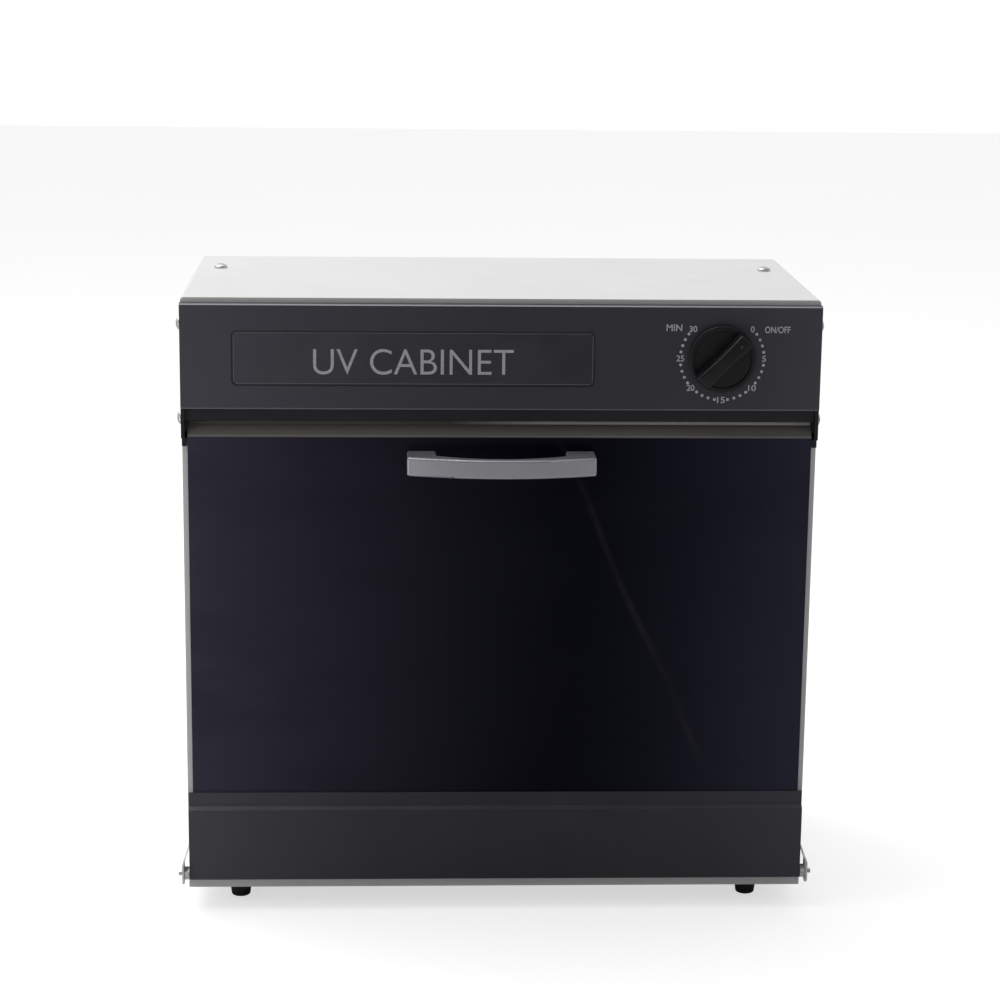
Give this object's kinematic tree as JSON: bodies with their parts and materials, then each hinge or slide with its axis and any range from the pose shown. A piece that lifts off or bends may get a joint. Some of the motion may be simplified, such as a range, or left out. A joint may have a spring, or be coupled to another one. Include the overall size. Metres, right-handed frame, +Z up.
{
  "type": "uv sterilizer cabinet",
  "caption": "Counter-top ultraviolet cabinet with a steel body, timer fascia, racks and a drop-down tinted door hinged at its foot.",
  "frame": {"origin": "under the middle of the whole object, on the surface its feet stand on", "axes": "+Z up; the front faces -Y; +X is the viewer's right when facing the front"},
  "size_m": [0.396, 0.224, 0.388],
  "materials": {
    "white_enamel": "satin white powder coat",
    "black_moulding": "fine-textured black ABS",
    "label_face": null,
    "knob_plastic": "satin black moulded plastic",
    "tinted_acrylic": "polished, very dark blue-black tint",
    "satin_silver": "satin silver",
    "screw_steel": "bright zinc plate",
    "foot_rubber": "matt black",
    "zinc_sheet": "zinc-plated sheet",
    "bright_reflector": "polished aluminium sheet",
    "lamp_glass": "clear quartz-like tube",
    "lamp_metal": "spun aluminium caps",
    "white_plastic": "white electrical plastic",
    "ballast_steel": "grey-white enamelled steel",
    "rack_wire": "bright plated wire",
    "catch_plastic": "white plastic with magnet",
    "wire_insulation": "PVC insulation"
  },
  "bodies": {
    "cabinet": {"ballast": "ballast_steel", "ballast_screws": "screw_steel", "base_panel": "white_enamel", "base_screws": "screw_steel", "cable_bushing": "foot_rubber", "catch_body": "catch_plastic", "chamber_ceiling": "zinc_sheet", "control_fascia": "black_moulding", "foot_front_left": "foot_rubber", "foot_front_right": "foot_rubber", "foot_rear_left": "foot_rubber", "foot_rear_right": "foot_rubber", "foot_screws": "screw_steel", "hanger_left": "zinc_sheet", "hanger_right": "zinc_sheet", "label_plate": "label_face", "lamp_end_caps": "lamp_metal", "lamp_holder_left": "white_plastic", "lamp_holder_right": "white_plastic", "lamp_reflector": "bright_reflector", "lower_rail_left": "zinc_sheet", "lower_rail_right": "zinc_sheet", "outer_shell": "white_enamel", "rear_panel": "white_enamel", "rear_panel_screws": "screw_steel", "side_screws": "screw_steel", "starter": "white_plastic", "starter_holder": "white_plastic", "terminal_block": "white_plastic", "timer_body": "white_plastic", "timer_screws": "screw_steel", "top_screws": "screw_steel", "upper_rail_left": "zinc_sheet", "upper_rail_right": "zinc_sheet", "uv_lamp_tube": "lamp_glass", "wire_ballast_lamp": "wire_insulation", "wire_starter_lamp": "wire_insulation", "wire_terminal_timer": "wire_insulation", "wire_timer_ballast": "wire_insulation"},
    "door": {"door_panel": "tinted_acrylic", "door_moulding": "black_moulding", "pivot_pin_left": "screw_steel", "pivot_pin_right": "screw_steel", "pivot_nuts": "screw_steel", "handle": "satin_silver", "handle_screws": "screw_steel", "strike_plate": "screw_steel"},
    "knob": {"timer_knob": "knob_plastic", "timer_shaft": "screw_steel"},
    "upper_rack": {"upper_rack": "rack_wire"},
    "lower_rack": {"lower_rack": "rack_wire"}
  },
  "joints": [
    {"name": "door_hinge", "type": "hinge", "parent": "cabinet", "child": "door", "pos_m": [0, -0.0854, 0.0243], "axis": [1, 0, 0], "range_deg": [0, 85]},
    {"name": "timer_turn", "type": "hinge", "parent": "cabinet", "child": "knob", "pos_m": [0.1324, -0.0852, 0.3506], "axis": [0, 1, 0], "range_deg": [0, 270]},
    {"name": "upper_rack_slide", "type": "slide", "parent": "cabinet", "child": "upper_rack", "axis": [0, -1, 0], "range_m": [0, 0.1113]},
    {"name": "lower_rack_slide", "type": "slide", "parent": "cabinet", "child": "lower_rack", "axis": [0, -1, 0], "range_m": [0, 0.0668]}
  ],
  "couplings": [
    {"joint": "upper_rack_slide", "follows": "door_hinge", "m_per_rad": 0.075},
    {"joint": "lower_rack_slide", "follows": "door_hinge", "m_per_rad": 0.045}
  ]
}
